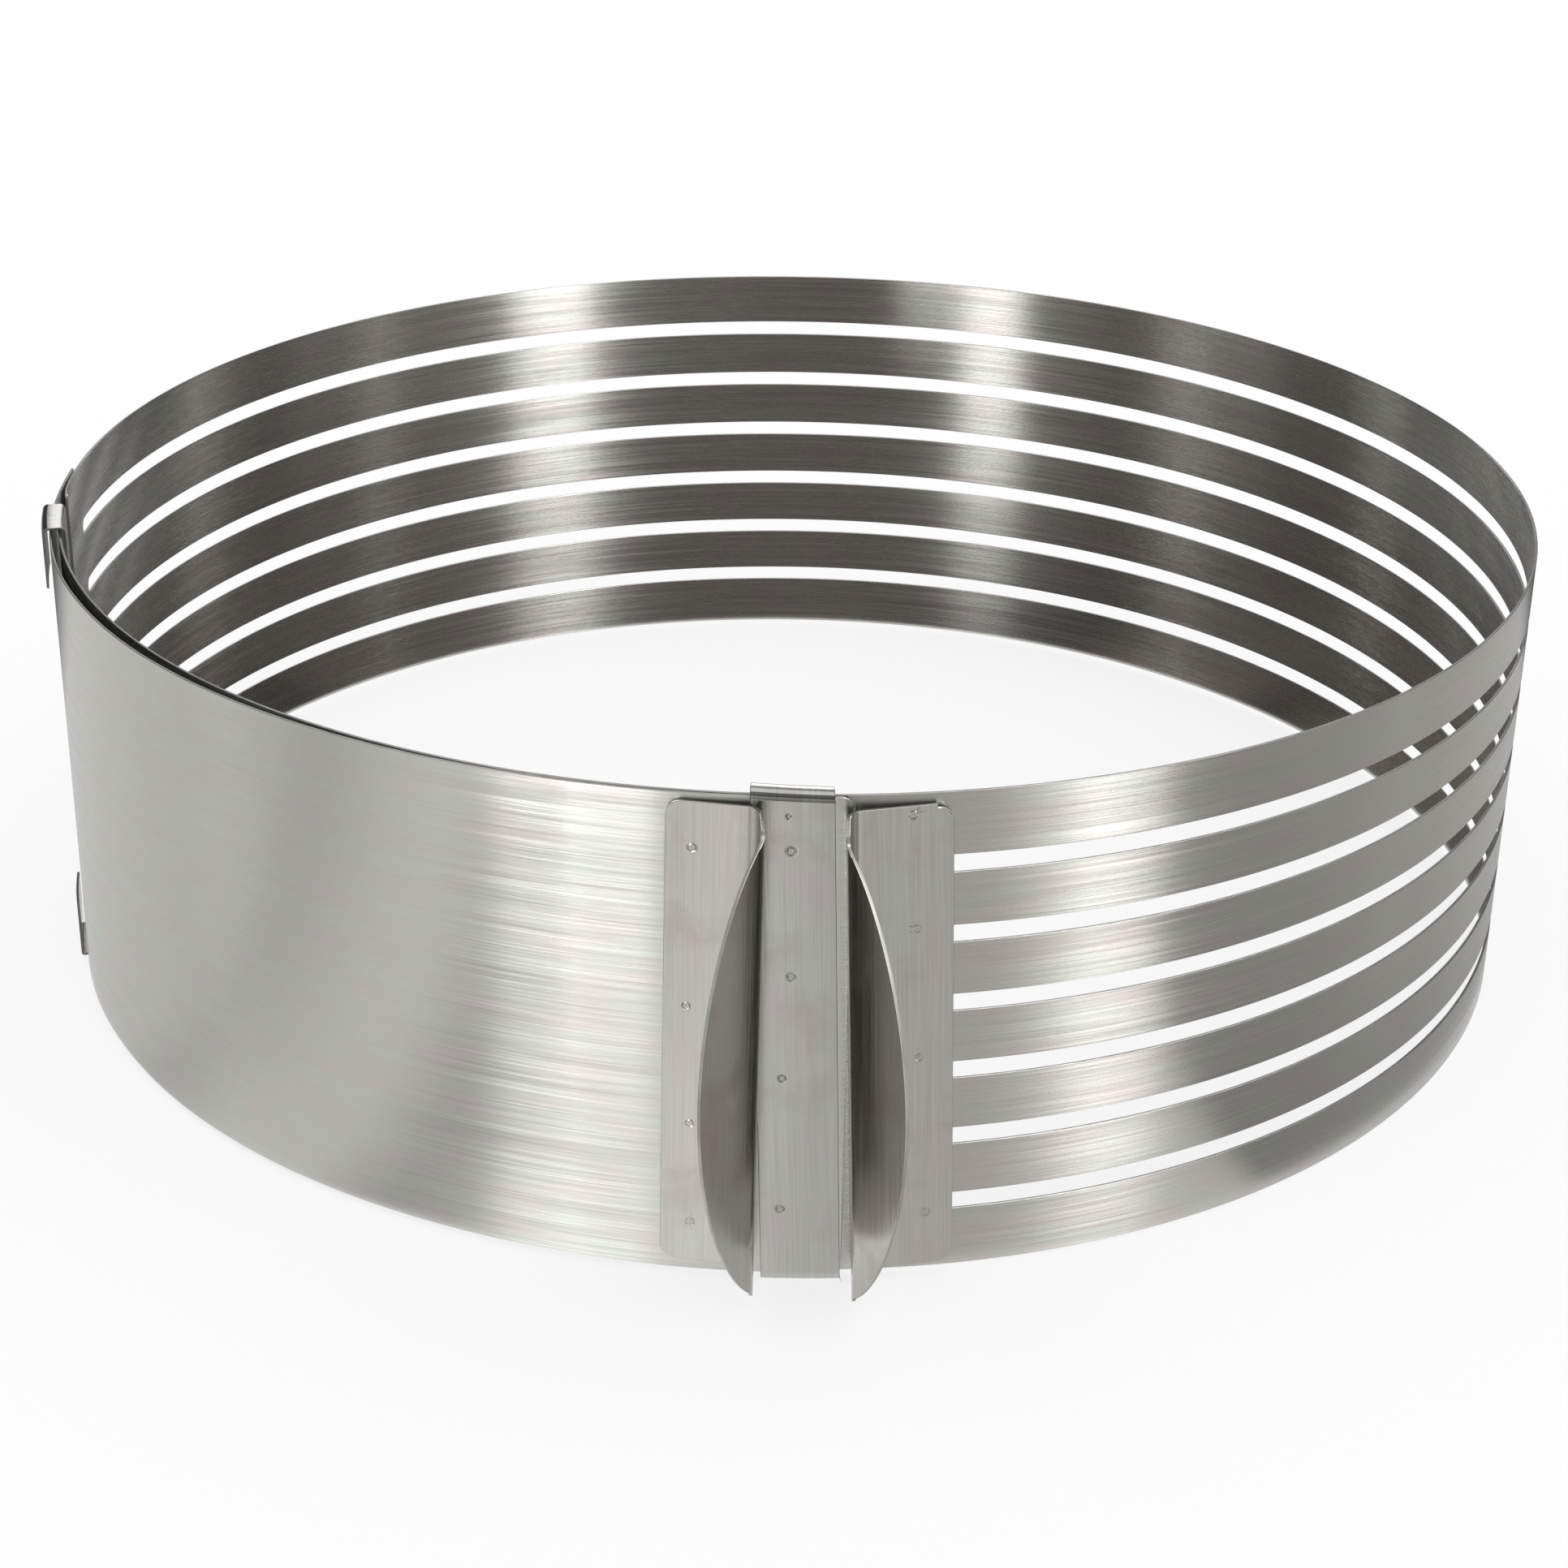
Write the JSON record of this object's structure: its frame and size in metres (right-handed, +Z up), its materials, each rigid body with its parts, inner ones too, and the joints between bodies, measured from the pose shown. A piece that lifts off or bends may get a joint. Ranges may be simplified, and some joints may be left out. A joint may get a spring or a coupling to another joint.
{
  "type": "adjustable cake slicing ring",
  "caption": "Thin steel strip bent into an adjustable ring with level knife slots, sliding guides and a pair of folded finger handles, for cutting a cake into even layers.",
  "frame": {"origin": "middle of the whole object's base, on the plane it stands on", "axes": "+Z up along the ring's axis, -Y towards the clasp and its handles, +X to the right seen from the clasp"},
  "size_m": [0.2394, 0.2582, 0.0757],
  "materials": {
    "outer_band_steel": "brushed along the strip, satin",
    "inner_band_steel": "brushed along the strip, satin",
    "left_handle_steel": "brushed upright, handled",
    "right_handle_steel": "brushed upright, handled",
    "front_guide_steel": "brushed upright, stained",
    "end_guide_steel": "brushed upright"
  },
  "bodies": {
    "outer_side": {"outer_band": "outer_band_steel", "left_handle": "left_handle_steel", "front_guide": "front_guide_steel"},
    "sliding_side": {"inner_band": "inner_band_steel", "right_handle": "right_handle_steel", "end_guide": "end_guide_steel"}
  },
  "joints": [
    {"name": "band_slide", "type": "hinge", "parent": "outer_side", "child": "sliding_side", "pos_m": [0.00044, 0.00984, 0.0377], "axis": [0, 0, 1], "range_deg": [0, 66.5]}
  ]
}
